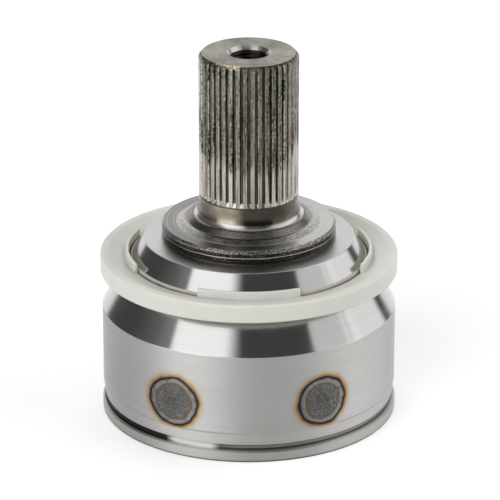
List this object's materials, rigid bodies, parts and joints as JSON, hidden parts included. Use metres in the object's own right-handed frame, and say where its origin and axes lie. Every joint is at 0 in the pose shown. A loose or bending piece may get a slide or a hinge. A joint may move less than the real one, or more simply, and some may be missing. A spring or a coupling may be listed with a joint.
{
  "type": "outer constant velocity joint",
  "caption": "Fixed ball-type outer constant velocity joint with splined, internally threaded stub, bearing collar, bell housing and white plastic shield ring.",
  "frame": {"origin": "on the joint's axis in the plane of the bell's mouth, which is the bottom of the part", "axes": "+Z along the joint's axis, from the mouth towards the free end of the splined stub; +X along the bend axis, through two of the balls"},
  "size_m": [0.1026, 0.1026, 0.1291],
  "materials": {
    "machined_steel": "satin",
    "white_plastic": "matte",
    "hardened_steel": "satin",
    "ball_steel": "polished",
    "spring_steel": "satin"
  },
  "bodies": {
    "outer": {"housing": "machined_steel", "dust_shield": "white_plastic"},
    "cage": {"cage": "hardened_steel"},
    "inner": {"inner_race": "hardened_steel", "circlip": "spring_steel"},
    "ball_1": {"ball_1": "ball_steel"},
    "ball_2": {"ball_2": "ball_steel"},
    "ball_3": {"ball_3": "ball_steel"},
    "ball_4": {"ball_4": "ball_steel"},
    "ball_5": {"ball_5": "ball_steel"},
    "ball_6": {"ball_6": "ball_steel"}
  },
  "joints": [
    {"name": "bend", "type": "hinge", "parent": "outer", "child": "inner", "pos_m": [0, 0, 0.022], "axis": [1, 0, 0], "range_deg": [-45, 45]},
    {"name": "cage_tilt", "type": "hinge", "parent": "outer", "child": "cage", "pos_m": [0, 0, 0.022], "axis": [1, 0, 0], "range_deg": [-22.6, 22.6]},
    {"name": "ball_1_roll", "type": "hinge", "parent": "outer", "child": "ball_1", "pos_m": [0.034, 0, 0.022], "axis": [1, 0, 0], "range_deg": [-22.6, 22.6]},
    {"name": "ball_2_travel", "type": "hinge", "parent": "outer", "child": "ball_2", "pos_m": [0, 0, 0.0188], "axis": [0.866, -0.5, 0], "range_deg": [-19.8, 19.8]},
    {"name": "ball_3_travel", "type": "hinge", "parent": "outer", "child": "ball_3", "pos_m": [0, 0, 0.0188], "axis": [0.866, 0.5, 0], "range_deg": [-19.8, 19.8]},
    {"name": "ball_4_roll", "type": "hinge", "parent": "outer", "child": "ball_4", "pos_m": [-0.034, 0, 0.022], "axis": [1, 0, 0], "range_deg": [-22.6, 22.6]},
    {"name": "ball_5_travel", "type": "hinge", "parent": "outer", "child": "ball_5", "pos_m": [0, 0, 0.0188], "axis": [-0.866, 0.5, 0], "range_deg": [-19.8, 19.8]},
    {"name": "ball_6_travel", "type": "hinge", "parent": "outer", "child": "ball_6", "pos_m": [0, 0, 0.0188], "axis": [-0.866, -0.5, 0], "range_deg": [-19.8, 19.8]}
  ],
  "couplings": [
    {"joint": "cage_tilt", "follows": "bend", "ratio": 0.5},
    {"joint": "ball_1_roll", "follows": "bend", "ratio": 0.5},
    {"joint": "ball_2_travel", "follows": "bend", "ratio": 0.4385},
    {"joint": "ball_3_travel", "follows": "bend", "ratio": 0.4385},
    {"joint": "ball_4_roll", "follows": "bend", "ratio": 0.5},
    {"joint": "ball_5_travel", "follows": "bend", "ratio": -0.4385},
    {"joint": "ball_6_travel", "follows": "bend", "ratio": -0.4385}
  ]
}
